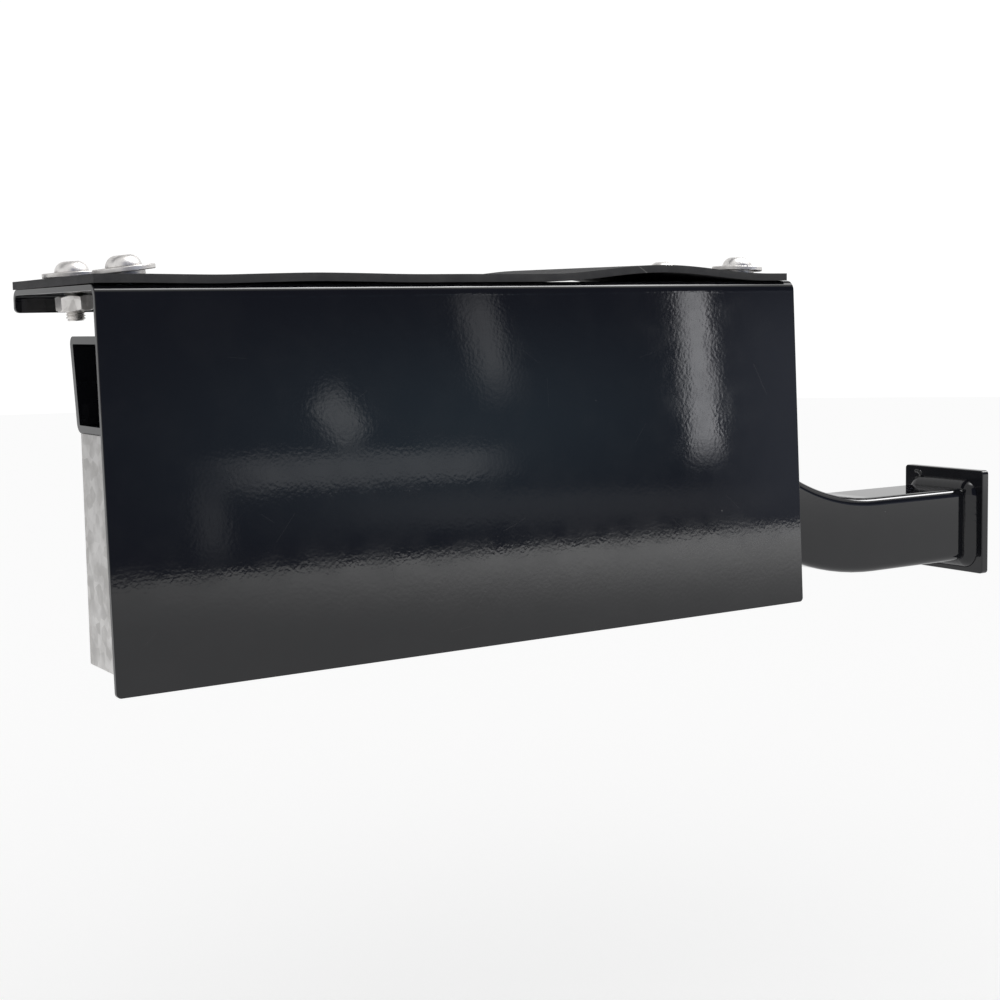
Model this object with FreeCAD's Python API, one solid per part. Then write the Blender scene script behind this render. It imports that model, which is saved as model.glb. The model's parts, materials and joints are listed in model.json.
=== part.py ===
"""Rubber-topped sheet hood on an S-bent square-tube arm with a welded end plate and a drop post.

Units are millimetres. The origin is the centre of the end plate's outer face, where the arm is held.
+X points out of that face, away from the hood, +Y points to the back of the hood, and +Z points up.
"""

import FreeCAD, Part
import math
import os

from FreeCAD import Vector

# Arm: square tube with two equal bends, seen from the plate back to the open end.
TUBE_SIDE = 50.0
TUBE_WALL = 4.0
TUBE_CORNER = 5.0
BEND_RADIUS = 175.0
BEND_ANGLE = 40.0
LOW_STRAIGHT = 90.0
SLOPE_STRAIGHT = 58.0
HIGH_STRAIGHT = 260.0
END_CUT_SLANT = 2.7

# End plate and the fillet weld round the tube on it.
PLATE_SIDE = 72.0
PLATE_THICK = 6.0
PLATE_CORNER = 2.5
PLATE_EDGE = 0.7
PLATE_RISE = 2.0
WELD_LEG = 6.0

# Hood: one sheet, bent down into a tall apron in front and a short lip behind.
SHEET = 3.0
HOOD_LENGTH = 432.0
HOOD_DEPTH = 125.0
APRON_HEIGHT = 193.5
APRON_LEAN = 2.4
LIP_HEIGHT = 12.0
FRONT_BEND = 6.0
REAR_BEND = 5.0
SHEET_CORNER = 2.5
SHEET_EDGE = 0.4
HOOD_OVERHANG = 21.0
HOOD_CLEARANCE = 24.5
APRON_STANDOFF = 47.2

# Rubber sheet lying on the hood in shallow waves.
RUBBER = 4.2
RUBBER_SHORT = 4.8
RUBBER_SETBACK = 0.6
# Each wave of the sheet: place along the hood from its left end, half length, height.
WAVES = ((8.0, 60.0, 0.6), (116.0, 62.0, 0.9), (334.0, 80.0, 4.9))

# M10 fasteners: button head screw, large and small washer, hexagon nut.
SCREW_D = 10.0
SCREW_LENGTH = 25.0
HEAD_D = 17.5
HEAD_HEIGHT = 5.5
HEAD_FLAT_D = 8.4
SOCKET_FLATS = 6.0
SOCKET_DEPTH = 3.1
THREAD_CHAMFER = 1.0
LARGE_WASHER = (30.0, 10.8, 2.5)
SMALL_WASHER = (20.0, 10.5, 2.0)
NUT_FLATS = 17.0
NUT_HEIGHT = 8.0
HOLE_D = 13.0
HOLE_INSET = 22.5
HOLE_PITCH_X = 384.0
HOLE_FRONT = 22.5
HOLE_PITCH_Y = 71.0
# How each screw sits: column, row, shift in its hole along X, extra lift, lean towards -X in degrees.
SCREW_SEATS = (
    (0, 1, -1.0, -0.3, 3.0),
    (0, 0, 0.9, 0.15, 6.5),
    (1, 0, 0.4, 0.1, -2.2),
    (1, 1, 0.0, 0.05, 0.6),
)

# Saddles: folded channels that carry the hood on the arm.
SADDLE_WIDTH = 38.0
SADDLE_LENGTH = 60.0
SADDLE_WALL = 3.0
SADDLE_PLACES = (("left", 50.0), ("right", 180.0))
SADDLE_WELD = 3.0

# Drop post: square tube hung under the arm's open end on a stud, with a foot cap.
POST_SIDE = 40.0
POST_WALL = 2.5
POST_CORNER = 4.0
POST_LENGTH = 114.0
CAP_THICK = 7.0
CAP_SPIGOT = 9.0
TOP_PLATE_THICK = 5.0
STUD_RISE = 15.5
FIT_GAP = 0.2

# Places that follow from the sizes above.
TURN = math.radians(BEND_ANGLE)
S_RUN = 2.0 * BEND_RADIUS * math.sin(TURN) + SLOPE_STRAIGHT * math.cos(TURN)
S_RISE = 2.0 * BEND_RADIUS * (1.0 - math.cos(TURN)) + SLOPE_STRAIGHT * math.sin(TURN)
ARM_END_X = -(PLATE_THICK + LOW_STRAIGHT + S_RUN + HIGH_STRAIGHT)
LOW_Z = -PLATE_RISE
HIGH_Z = LOW_Z + S_RISE
TUBE_TOP = HIGH_Z + TUBE_SIDE / 2.0
TUBE_BOTTOM = HIGH_Z - TUBE_SIDE / 2.0
HOOD_LEFT = ARM_END_X - HOOD_OVERHANG
HOOD_TOP = TUBE_TOP + HOOD_CLEARANCE
HOOD_FRONT = -TUBE_SIDE / 2.0 - APRON_STANDOFF
HOOD_BACK = HOOD_FRONT + HOOD_DEPTH
POST_X = ARM_END_X + POST_SIDE / 2.0


def box(low, high):
    """Box between two opposite corners."""
    size = [b - a for a, b in zip(low, high)]
    return Part.makeBox(size[0], size[1], size[2], Vector(*low))


def ring_disc(outer_d, inner_d, height):
    """Flat round disc with a hole, standing on the XY plane."""
    disc = Part.makeCylinder(outer_d / 2.0, height)
    return disc.cut(Part.makeCylinder(inner_d / 2.0, height))


def hexagon(flats, height):
    """Hexagonal prism on the XY plane, with two of its flats facing along X."""
    corner = flats / math.sqrt(3.0)
    angles = [math.radians(30.0 + 60.0 * k) for k in range(7)]
    wire = Part.makePolygon([Vector(corner * math.cos(a), corner * math.sin(a), 0) for a in angles])
    return Part.Face(wire).extrude(Vector(0, 0, height))


def square_wire(side, corner, x=0.0):
    """Square with rounded corners in the YZ plane at x, centred on the X axis."""
    half = side / 2.0
    flat = half - corner
    edges = []
    for k in range(4):
        turn = FreeCAD.Rotation(Vector(1, 0, 0), 90.0 * k)
        start = turn.multVec(Vector(0, half, -flat))
        end = turn.multVec(Vector(0, half, flat))
        mid_r = flat + corner * math.sqrt(0.5)
        middle = turn.multVec(Vector(0, mid_r, mid_r))
        after = turn.multVec(Vector(0, flat, half))
        edges.append(Part.LineSegment(start, end).toShape())
        edges.append(Part.Arc(end, middle, after).toShape())
    wire = Part.Wire(Part.__sortEdges__(edges))
    wire.translate(Vector(x, 0, 0))
    return wire


def square_bar(side, corner, length, upright=False):
    """Bar of rounded square section, along +X from the origin, or up along +Z if upright."""
    bar = Part.Face(square_wire(side, corner)).extrude(Vector(length, 0, 0))
    if upright:
        bar.rotate(Vector(0, 0, 0), Vector(0, 1, 0), -90.0)
    return bar


def edges_where(shape, test):
    """Edges of a shape whose two ends both pass a test on the point."""
    found = []
    for edge in shape.Edges:
        ends = [vertex.Point for vertex in edge.Vertexes]
        if len(ends) == 2 and all(test(point) for point in ends):
            found.append(edge)
    return found


def arm_path():
    """Centre line of the arm, from the plate's inner face to the open end."""
    x_low = -PLATE_THICK - LOW_STRAIGHT
    step = BEND_RADIUS * math.sin(TURN)
    rise = BEND_RADIUS * (1.0 - math.cos(TURN))
    half_step = BEND_RADIUS * math.sin(TURN / 2.0)
    half_rise = BEND_RADIUS * (1.0 - math.cos(TURN / 2.0))
    start = Vector(-PLATE_THICK, 0, LOW_Z)
    bend_1 = Vector(x_low, 0, LOW_Z)
    bend_1_mid = Vector(x_low - half_step, 0, LOW_Z + half_rise)
    bend_1_end = Vector(x_low - step, 0, LOW_Z + rise)
    bend_2_end = Vector(x_low - S_RUN, 0, HIGH_Z)
    bend_2 = bend_2_end + Vector(step, 0, -rise)
    bend_2_mid = bend_2_end + Vector(half_step, 0, -half_rise)
    end = Vector(ARM_END_X - TUBE_SIDE * math.tan(math.radians(END_CUT_SLANT)), 0, HIGH_Z)
    edges = [
        Part.LineSegment(start, bend_1).toShape(),
        Part.Arc(bend_1, bend_1_mid, bend_1_end).toShape(),
        Part.LineSegment(bend_1_end, bend_2).toShape(),
        Part.Arc(bend_2, bend_2_mid, bend_2_end).toShape(),
        Part.LineSegment(bend_2_end, end).toShape(),
    ]
    return Part.Wire(edges)


def swept_square(side, corner):
    """Square section swept along the whole arm path."""
    section = square_wire(side, corner, -PLATE_THICK)
    section.translate(Vector(0, 0, LOW_Z))
    return arm_path().makePipeShell([section], True, False)


def end_cut():
    """Block that trims the arm's open end, so that its top overhangs its bottom slightly."""
    block = box((-4.0 * TUBE_SIDE, -TUBE_SIDE, -2.0 * TUBE_SIDE), (0, TUBE_SIDE, 2.0 * TUBE_SIDE))
    block.rotate(Vector(0, 0, 0), Vector(0, 1, 0), -END_CUT_SLANT)
    block.translate(Vector(ARM_END_X, 0, HIGH_Z))
    return block


def make_arm_tube():
    """S-bent square tube, open at the hood end, with the clearance hole for the post's stud."""
    tube = swept_square(TUBE_SIDE, TUBE_CORNER).cut(
        swept_square(TUBE_SIDE - 2.0 * TUBE_WALL, TUBE_CORNER - TUBE_WALL)
    )
    stud_hole = Part.makeCylinder(5.5, 3.0 * TUBE_WALL, Vector(POST_X, 0, TUBE_BOTTOM - TUBE_WALL))
    return tube.cut(end_cut()).cut(stud_hole)


def make_end_plate():
    """Square plate closing the low end of the arm, with softened corners and edges."""
    plate = square_bar(PLATE_SIDE, PLATE_CORNER, PLATE_THICK)
    plate.translate(Vector(-PLATE_THICK, 0, 0))
    return plate.makeFillet(PLATE_EDGE, plate.Edges)


def make_end_plate_weld():
    """Fillet weld round the tube where it meets the plate."""
    outer_side = TUBE_SIDE + 2.0 * WELD_LEG
    at_plate = square_wire(outer_side, TUBE_CORNER + WELD_LEG, -PLATE_THICK)
    at_tube = square_wire(TUBE_SIDE + 0.6, TUBE_CORNER + 0.3, -PLATE_THICK - WELD_LEG)
    bead = Part.makeLoft([at_plate, at_tube], True)
    bead.translate(Vector(0, 0, LOW_Z))
    core = square_bar(TUBE_SIDE, TUBE_CORNER, 3.0 * WELD_LEG)
    core.translate(Vector(-PLATE_THICK - 2.0 * WELD_LEG, 0, LOW_Z))
    return bead.cut(core)


def hood_outline():
    """Outer and inner corner points of the hood's section, from the apron's foot to the lip's foot."""
    lean = math.radians(APRON_LEAN)
    foot_run = APRON_HEIGHT * math.tan(lean)
    top, foot = HOOD_TOP, HOOD_TOP - APRON_HEIGHT
    normal = Vector(0, math.cos(lean), -math.sin(lean)) * SHEET
    bend_inset = SHEET * (math.cos(lean) - math.sin(lean) * (1.0 - math.sin(lean)) / math.cos(lean))
    outer = [
        Vector(0, HOOD_FRONT - foot_run, foot),
        Vector(0, HOOD_FRONT, top),
        Vector(0, HOOD_BACK, top),
        Vector(0, HOOD_BACK, top - LIP_HEIGHT),
    ]
    inner = [
        outer[0] + normal,
        Vector(0, HOOD_FRONT + bend_inset, top - SHEET),
        Vector(0, HOOD_BACK - SHEET, top - SHEET),
        Vector(0, HOOD_BACK - SHEET, top - LIP_HEIGHT),
    ]
    return outer, inner


def hole_places():
    """Centres of the four holes through the hood's top, as (column, row, x, y)."""
    return [
        (
            column,
            row,
            HOOD_LEFT + HOLE_INSET + column * HOLE_PITCH_X,
            HOOD_FRONT + HOLE_FRONT + row * HOLE_PITCH_Y,
        )
        for column in (0, 1)
        for row in (0, 1)
    ]


def drill_top(shape, diameter):
    """Cut the four screw holes through a sheet that lies at the top of the hood."""
    for _, _, x, y in hole_places():
        drill = Part.makeCylinder(diameter / 2.0, 40.0, Vector(x, y, HOOD_TOP - 20.0))
        shape = shape.cut(drill)
    return shape


def make_hood_shell():
    """Bent sheet hood: apron, top and rear lip, with four screw holes and rounded lower corners."""
    outer, inner = hood_outline()
    loop = outer + inner[::-1] + outer[:1]
    hood = Part.Face(Part.makePolygon(loop)).extrude(Vector(HOOD_LENGTH, 0, 0))

    def along_hood(point):
        """Edges that run the length of the hood through a section point."""
        def same_place(p):
            return abs(p.y - point.y) < 1e-3 and abs(p.z - point.z) < 1e-3
        return edges_where(hood, same_place)

    radii = ((outer[1], FRONT_BEND), (outer[2], REAR_BEND),
             (inner[1], FRONT_BEND - SHEET), (inner[2], REAR_BEND - SHEET))
    for point, radius in radii:
        hood = hood.makeFillet(radius, along_hood(point))

    def at_corner(p):
        """Short edges at the four lower corners of apron and lip."""
        at_foot = min(abs(p.z - o.z) for o in (outer[0], inner[0], outer[3])) < 1e-3
        return at_foot and min(abs(p.x), abs(p.x - HOOD_LENGTH)) < 1e-3

    corners = [e for e in edges_where(hood, at_corner) if e.Length < 2.0 * SHEET]
    hood = hood.makeFillet(SHEET_CORNER, corners)
    flat_faces = [f for f in hood.Faces if isinstance(f.Surface, Part.Plane)]
    end_faces = [f for f in flat_faces if abs(abs(f.normalAt(0, 0).x) - 1.0) < 1e-6]
    rim = [edge for face in end_faces for edge in face.Edges]
    hood = hood.makeFillet(SHEET_EDGE, rim)
    hood.translate(Vector(HOOD_LEFT, 0, 0))
    return drill_top(hood, HOLE_D)


def wave_height(run):
    """Height of the rubber sheet's underside above the hood, at a distance from the left end."""
    total = 0.0
    for centre, reach, height in WAVES:
        offset = abs(run - centre) / reach
        if offset < 1.0:
            total += height * 0.5 * (1.0 + math.cos(math.pi * offset))
    return total


def make_rubber_sheet():
    """Rubber sheet on the hood, in long shallow waves along its length, dented where the washers press."""
    length = HOOD_LENGTH - RUBBER_SHORT
    count = 72
    runs = [length * k / count for k in range(count + 1)]
    front = HOOD_FRONT + RUBBER_SETBACK
    depth = HOOD_BACK - front

    def curve(lift):
        """Wavy line along the sheet, lifted above its underside."""
        line = Part.BSplineCurve()
        line.interpolate([Vector(HOOD_LEFT + r, front, HOOD_TOP + lift + wave_height(r)) for r in runs])
        return line

    low, high = curve(0.05), curve(0.05 + RUBBER)
    ends = [
        Part.LineSegment(low.EndPoint, high.EndPoint).toShape(),
        Part.LineSegment(high.StartPoint, low.StartPoint).toShape(),
    ]
    outline = Part.Wire(Part.__sortEdges__([low.toShape(), high.toShape()] + ends))
    sheet = drill_top(Part.Face(outline).extrude(Vector(0, depth, 0)), HOLE_D)
    for seat in SCREW_SEATS:
        for washer, height in ((SMALL_WASHER, 0.0), (LARGE_WASHER, SMALL_WASHER[2])):
            dent = Part.makeCylinder(washer[0] / 2.0 + 0.1, 3.0 * RUBBER)
            sheet = sheet.cut(seated(dent, *seat, height - 0.02))
    return sheet


def button_screw():
    """Button head screw with its underside at z = 0, the head above and the shank below."""
    half, flat = HEAD_D / 2.0, HEAD_FLAT_D / 2.0
    shoulder = 0.6
    middle = Vector(0.5 * (half + flat) + 1.15, 0, 0.5 * (HEAD_HEIGHT + shoulder) + 0.9)
    dome = Part.Arc(Vector(half, 0, shoulder), middle, Vector(flat, 0, HEAD_HEIGHT)).toShape()
    shank = SCREW_D / 2.0
    points = [
        Vector(flat, 0, HEAD_HEIGHT),
        Vector(0, 0, HEAD_HEIGHT),
        Vector(0, 0, -SCREW_LENGTH),
        Vector(shank - THREAD_CHAMFER, 0, -SCREW_LENGTH),
        Vector(shank, 0, -SCREW_LENGTH + THREAD_CHAMFER),
        Vector(shank, 0, 0),
        Vector(half - 0.3, 0, 0),
        Vector(half, 0, shoulder),
    ]
    sides = [Part.LineSegment(a, b).toShape() for a, b in zip(points, points[1:])]
    outline = Part.Wire(Part.__sortEdges__([dome] + sides))
    body = Part.Face(outline).revolve(Vector(0, 0, 0), Vector(0, 0, 1), 360.0)
    socket = hexagon(SOCKET_FLATS, SOCKET_DEPTH + 1.0)
    socket.translate(Vector(0, 0, HEAD_HEIGHT - SOCKET_DEPTH))
    return body.cut(socket)


def hex_nut():
    """Hexagon nut on the XY plane, with the corners of both faces turned off."""
    nut = hexagon(NUT_FLATS, NUT_HEIGHT)
    crown_low, crown_high = NUT_FLATS / 2.0 - 0.2, NUT_FLATS / 2.0 + 3.0
    rise = (crown_high - crown_low) * math.tan(math.radians(30.0))
    lower = Part.makeCone(crown_low, crown_low + (NUT_HEIGHT + rise) / math.tan(math.radians(30.0)),
                          NUT_HEIGHT + rise)
    upper = lower.mirror(Vector(0, 0, NUT_HEIGHT / 2.0), Vector(0, 0, 1))
    bore = Part.makeCylinder(SCREW_D / 2.0 + 0.05, NUT_HEIGHT)
    return nut.common(lower).common(upper).cut(bore)


def seated(shape, column, row, shift, lift, lean, height):
    """Shape placed on a screw's own axis, at a height along that axis above the rubber's top."""
    placed = shape.copy()
    placed.translate(Vector(0, 0, height + lift))
    placed.rotate(Vector(0, 0, 0), Vector(0, 1, 0), -lean)
    x = HOOD_LEFT + HOLE_INSET + column * HOLE_PITCH_X + shift
    y = HOOD_FRONT + HOLE_FRONT + row * HOLE_PITCH_Y
    placed.translate(Vector(x, y, HOOD_TOP + RUBBER))
    return placed


def fastener_groups():
    """The four screws with their washers and nuts, one compound of solids for each kind."""
    large = ring_disc(*LARGE_WASHER)
    large = large.makeFillet(0.5, [e for e in large.Edges if e.Length > math.pi * 20.0])
    small = ring_disc(*SMALL_WASHER)
    small_top = SMALL_WASHER[2]
    large_top = small_top + LARGE_WASHER[2]
    shapes = {
        "hood_small_washers": [seated(small, *seat, 0.0) for seat in SCREW_SEATS],
        "hood_large_washers": [seated(large, *seat, small_top) for seat in SCREW_SEATS],
        "hood_button_screws": [seated(button_screw(), *seat, large_top) for seat in SCREW_SEATS],
        "hood_hex_nuts": [],
    }
    for column, row, shift, lift, lean in SCREW_SEATS:
        drop = 0.5 * NUT_FLATS * 1.16 * math.sin(abs(math.radians(lean)))
        height = -RUBBER - SHEET - NUT_HEIGHT - drop - lift - 0.05
        shapes["hood_hex_nuts"].append(seated(hex_nut(), column, row, shift, lift, lean, height))
    return {name: Part.makeCompound(solids) for name, solids in shapes.items()}


def saddle_span(offset):
    """Both ends along X of a saddle that starts at an offset from the arm's open end."""
    return ARM_END_X + offset, ARM_END_X + offset + SADDLE_LENGTH


def make_saddle(offset):
    """Folded channel standing on the arm with its web under the hood's top."""
    start, end = saddle_span(offset)
    half = SADDLE_WIDTH / 2.0
    under_hood = HOOD_TOP - SHEET
    outer = box((start, -half, TUBE_TOP), (end, half, under_hood))
    inner = box((start, -half + SADDLE_WALL, TUBE_TOP), (end, half - SADDLE_WALL, under_hood - SADDLE_WALL))

    def on_bend(p):
        """Points on the channel's two outer bends."""
        return abs(p.z - under_hood) < 1e-3 and abs(abs(p.y) - half) < 1e-3

    bends = [e for e in edges_where(outer, on_bend) if e.Length > SADDLE_LENGTH - 1.0]
    return outer.makeFillet(SADDLE_WALL, bends).cut(inner)


def make_saddle_welds():
    """Fillet welds along the feet of both saddles on the arm."""
    beads = []
    half = SADDLE_WIDTH / 2.0
    for _, offset in SADDLE_PLACES:
        start, end = saddle_span(offset)
        for side in (-1.0, 1.0):
            corner = Vector(start + 4.0, side * half, TUBE_TOP)
            points = [corner, corner + Vector(0, side * SADDLE_WELD, 0), corner + Vector(0, 0, SADDLE_WELD)]
            face = Part.Face(Part.makePolygon(points + points[:1]))
            beads.append(face.extrude(Vector(end - start - 8.0, 0, 0)))
    return Part.makeCompound(beads)


def placed_post(shape, z):
    """Shape moved onto the post's axis at height z."""
    shape.translate(Vector(POST_X, 0, z))
    return shape


def make_post():
    """Square tube of the drop post, butted up under the arm."""
    outer = square_bar(POST_SIDE, POST_CORNER, POST_LENGTH, upright=True)
    inner = square_bar(POST_SIDE - 2.0 * POST_WALL, POST_CORNER - POST_WALL, POST_LENGTH, upright=True)
    return placed_post(outer.cut(inner), TUBE_BOTTOM - POST_LENGTH)


def make_post_top_plate():
    """Plate welded inside the top of the post, flush with its end."""
    side = POST_SIDE - 2.0 * POST_WALL - 2.0 * FIT_GAP
    plate = square_bar(side, POST_CORNER - POST_WALL, TOP_PLATE_THICK, upright=True)
    stud_hole = Part.makeCylinder(SCREW_D / 2.0, TOP_PLATE_THICK)
    return placed_post(plate.cut(stud_hole), TUBE_BOTTOM - TOP_PLATE_THICK)


def make_post_stud():
    """Stud fixed in the post's top plate and standing up into the arm."""
    length = TOP_PLATE_THICK + STUD_RISE
    stud = Part.makeCylinder(SCREW_D / 2.0, length - THREAD_CHAMFER)
    tip = Part.makeCone(SCREW_D / 2.0, SCREW_D / 2.0 - THREAD_CHAMFER, THREAD_CHAMFER)
    tip.translate(Vector(0, 0, length - THREAD_CHAMFER))
    return placed_post(stud.fuse(tip).removeSplitter(), TUBE_BOTTOM - TOP_PLATE_THICK)


def make_foot_cap():
    """Cap closing the foot of the post, with a spigot that fits inside it."""
    plate = square_bar(POST_SIDE, POST_CORNER, CAP_THICK, upright=True)
    side = POST_SIDE - 2.0 * POST_WALL - 2.0 * FIT_GAP
    spigot = square_bar(side, POST_CORNER - POST_WALL, CAP_SPIGOT, upright=True)
    spigot.translate(Vector(0, 0, CAP_THICK))

    def at_foot(p):
        """Points on the cap's lower face."""
        return abs(p.z) < 1e-3

    plate = plate.makeFillet(0.8, edges_where(plate, at_foot))
    return placed_post(plate.fuse(spigot), TUBE_BOTTOM - POST_LENGTH - CAP_THICK)


def make_parts():
    """Every sub-part by name."""
    arm_floor = TUBE_BOTTOM + TUBE_WALL
    parts = {
        "hood_shell": make_hood_shell(),
        "rubber_top_sheet": make_rubber_sheet(),
        "arm_tube": make_arm_tube(),
        "arm_end_plate": make_end_plate(),
        "end_plate_weld": make_end_plate_weld(),
        "saddle_welds": make_saddle_welds(),
        "drop_post": make_post(),
        "post_top_plate": make_post_top_plate(),
        "post_foot_cap": make_foot_cap(),
        "post_stud": make_post_stud(),
        "post_stud_washer": placed_post(ring_disc(*SMALL_WASHER), arm_floor),
        "post_stud_nut": placed_post(hex_nut(), arm_floor + SMALL_WASHER[2]),
    }
    for side, offset in SADDLE_PLACES:
        parts["hood_saddle_" + side] = make_saddle(offset)
    parts.update(fastener_groups())
    return parts


os.makedirs("parts", exist_ok=True)
for name, shape in make_parts().items():
    shape.exportStep("parts/" + name + ".step")
    print(name, len(shape.Solids), "solids", round(shape.Volume), "mm3", "valid", shape.isValid())
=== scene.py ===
"""Studio model of a rubber-topped sheet hood carried on an S-bent square-tube arm.

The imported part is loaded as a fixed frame. The rubber sheet, the welds, the screws and the seam inside
the tube are modelled here in full detail, and every other node keeps its shape and gets its finish.
Lengths are in metres. +X points out of the end plate, away from the hood, +Y to the back, +Z up.
"""

import json
import logging
import math
from dataclasses import dataclass
from enum import Enum
from typing import Sequence, Union

import bmesh
import bpy
from bmesh.types import BMEdge, BMesh, BMVert
from mathutils import Matrix, Vector, noise


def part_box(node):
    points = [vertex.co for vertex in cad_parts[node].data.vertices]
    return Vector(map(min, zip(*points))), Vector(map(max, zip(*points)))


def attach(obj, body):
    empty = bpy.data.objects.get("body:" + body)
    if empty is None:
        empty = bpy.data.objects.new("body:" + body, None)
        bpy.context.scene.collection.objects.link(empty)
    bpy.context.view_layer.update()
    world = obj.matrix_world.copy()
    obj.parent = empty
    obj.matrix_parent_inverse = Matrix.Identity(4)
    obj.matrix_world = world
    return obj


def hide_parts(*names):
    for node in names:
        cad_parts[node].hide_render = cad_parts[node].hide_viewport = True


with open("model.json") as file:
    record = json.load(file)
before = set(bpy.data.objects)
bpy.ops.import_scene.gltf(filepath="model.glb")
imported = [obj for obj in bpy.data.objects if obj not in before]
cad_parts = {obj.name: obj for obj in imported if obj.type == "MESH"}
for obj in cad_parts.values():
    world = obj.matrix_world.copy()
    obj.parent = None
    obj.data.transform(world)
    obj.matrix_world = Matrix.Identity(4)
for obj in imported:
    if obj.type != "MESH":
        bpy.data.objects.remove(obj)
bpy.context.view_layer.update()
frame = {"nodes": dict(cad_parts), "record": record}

MM = 0.001
LOG = logging.getLogger("drop_hood")
Colour = tuple[float, float, float, float]
Feed = Union[bpy.types.NodeSocket, float, Sequence[float]]


class Slot(Enum):
    """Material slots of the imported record."""

    BLACK = "black_powder_coat"
    WELD = "painted_weld"
    RUBBER = "rubber"
    STAINLESS = "stainless"
    BLACKENED = "blackened_steel"
    ZINC = "galvanised"


class Grain(Enum):
    """Axis that the drawn or brushed grain of a metal runs along."""

    ALONG_X = (0.04, 1.0, 1.0)
    ALONG_Z = (1.0, 1.0, 0.04)
    NONE = (1.0, 1.0, 1.0)


# ---------------------------------------------------------------------------------------------------------
# Shader wiring
# ---------------------------------------------------------------------------------------------------------


class Wiring:
    """A shader node tree with short calls that add nodes and join them."""

    def __init__(self, tree: bpy.types.NodeTree) -> None:
        """Keep the tree that nodes are added to.

        Args:
            tree: Node tree of a material, a world or a group.
        """
        self.tree = tree

    def add(self, kind: str, feeds: dict[Union[str, int], Feed] | None = None,
            **settings: object) -> bpy.types.Node:
        """Add one node and feed its inputs.

        Args:
            kind: Node type without its ShaderNode prefix.
            feeds: Value or output socket for each input, by the input's name or number.
            **settings: Attributes set on the node.

        Returns:
            The new node.
        """
        made = self.tree.nodes.new("ShaderNode" + kind)
        for name, value in settings.items():
            setattr(made, name, value)
        for socket, value in (feeds or {}).items():
            if isinstance(value, bpy.types.NodeSocket):
                self.tree.links.new(value, made.inputs[socket])
            else:
                made.inputs[socket].default_value = value
        return made

    def sums(self, operation: str, first: Feed, second: Feed = 0.0,
             clamp: bool = False) -> bpy.types.NodeSocket:
        """Add a Math node.

        Args:
            operation: Name of the operation.
            first: First value.
            second: Second value.
            clamp: Whether the result is held between 0 and 1.

        Returns:
            The result's socket.
        """
        return self.add("Math", {0: first, 1: second}, operation=operation, use_clamp=clamp).outputs[0]

    def span(self, value: Feed, low: float, high: float, to_low: Feed = 0.0,
             to_high: Feed = 1.0) -> bpy.types.NodeSocket:
        """Map a value smoothly from one range to another, and hold it there.

        Args:
            value: Value to map.
            low: Start of the range it comes from.
            high: End of the range it comes from.
            to_low: Result at the start.
            to_high: Result at the end.

        Returns:
            The result's socket.
        """
        feeds = {0: value, 1: low, 2: high, 3: to_low, 4: to_high}
        return self.add("MapRange", feeds, interpolation_type="SMOOTHSTEP").outputs[0]

    def blend(self, share: Feed, first: Feed, second: Feed) -> bpy.types.NodeSocket:
        """Mix two colours.

        Args:
            share: Share of the second colour.
            first: Colour at share 0.
            second: Colour at share 1.

        Returns:
            The mixed colour's socket.
        """
        return self.add("Mix", {0: share, 6: first, 7: second}, data_type="RGBA").outputs[2]

    def place(self, stretch: Sequence[float] = (1.0, 1.0, 1.0),
              turn: Sequence[float] = (0.0, 0.0, 0.0)) -> bpy.types.NodeSocket:
        """Object coordinates, stretched and turned.

        Args:
            stretch: Scale of each axis.
            turn: Rotation in radians.

        Returns:
            The coordinates' socket.
        """
        where = self.add("TexCoord").outputs["Object"]
        return self.add("Mapping", {"Vector": where, "Scale": stretch, "Rotation": turn}).outputs[0]

    def clouds(self, where: Feed, scale: Feed, detail: float = 2.0,
               rough: float = 0.5) -> bpy.types.NodeSocket:
        """Noise between 0 and 1.

        Args:
            where: Coordinates.
            scale: Cells per metre.
            detail: Octaves.
            rough: Share of the finer octaves.

        Returns:
            The noise's socket.
        """
        feeds = {"Vector": where, "Scale": scale, "Detail": detail, "Roughness": rough}
        return self.add("TexNoise", feeds, noise_dimensions="3D").outputs[0]

    def cells(self, where: Feed, scale: Feed, output: str = "Distance",
              feature: str = "F1") -> bpy.types.NodeSocket:
        """Voronoi cells.

        Args:
            where: Coordinates.
            scale: Cells per metre.
            output: Which result to use.
            feature: Which distance to measure.

        Returns:
            The chosen result's socket.
        """
        return self.add("TexVoronoi", {"Vector": where, "Scale": scale}, feature=feature).outputs[output]


def new_group(name: str, inputs: dict[str, float], outputs: Sequence[str]) -> tuple[
        bpy.types.NodeTree, Wiring, bpy.types.Node, bpy.types.Node]:
    """Start a shader node group with number sockets.

    Args:
        name: Group name.
        inputs: Default value of each input.
        outputs: Name of each output.

    Returns:
        The group, its wiring, its input node and its output node.
    """
    group = bpy.data.node_groups.new(name, "ShaderNodeTree")
    for label, value in inputs.items():
        group.interface.new_socket(label, in_out="INPUT", socket_type="NodeSocketFloat").default_value = value
    for label in outputs:
        group.interface.new_socket(label, in_out="OUTPUT", socket_type="NodeSocketFloat")
    entry = group.nodes.new("NodeGroupInput")
    leave = group.nodes.new("NodeGroupOutput")
    return group, Wiring(group), entry, leave


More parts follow.
